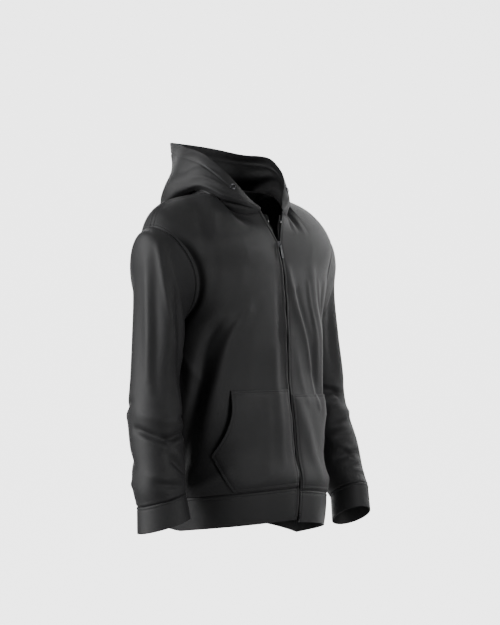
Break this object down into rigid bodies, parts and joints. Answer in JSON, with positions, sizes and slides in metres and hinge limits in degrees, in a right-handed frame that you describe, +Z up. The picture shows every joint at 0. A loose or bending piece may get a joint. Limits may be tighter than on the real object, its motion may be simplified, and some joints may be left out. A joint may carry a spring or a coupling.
{
  "type": "zip-front hoodie",
  "caption": "Charcoal zip-front hoodie in its hollow worn form: hood down, full-length zip open at the neck, split kangaroo pocket, plain hem band and cuffs.",
  "frame": {"origin": "middle of the neck opening, where the garment lies round the wearer's neck on the shoulders", "axes": "+Z up along the wearer's neck, +X towards the wearer's left, -Y the way the front faces"},
  "size_m": [0.6324, 0.3595, 0.7994],
  "materials": {
    "cloth": "matte",
    "tape": "matte",
    "metal": "satin"
  },
  "bodies": {
    "garment": {"back": "cloth", "front_right": "cloth", "front_left": "cloth", "sleeve_right": "cloth", "sleeve_left": "cloth", "cuff_right": "cloth", "cuff_left": "cloth", "hem_band": "cloth", "hood_right": "cloth", "hood_left": "cloth", "pocket_right": "cloth", "pocket_left": "cloth", "zip_tape_right": "tape", "zip_tape_left": "tape", "zip_slider": "metal", "zip_top_stop_right": "metal", "zip_top_stop_left": "metal", "zip_bottom_box": "metal", "eyelet_right": "metal", "eyelet_left": "metal"},
    "pull_tab": {"zip_pull": "metal"}
  },
  "joints": [
    {"name": "pull_hinge", "type": "hinge", "parent": "garment", "child": "pull_tab", "pos_m": [0, -0.10529, -0.10958], "axis": [-1, 0, 0], "range_deg": [0, 150]}
  ]
}
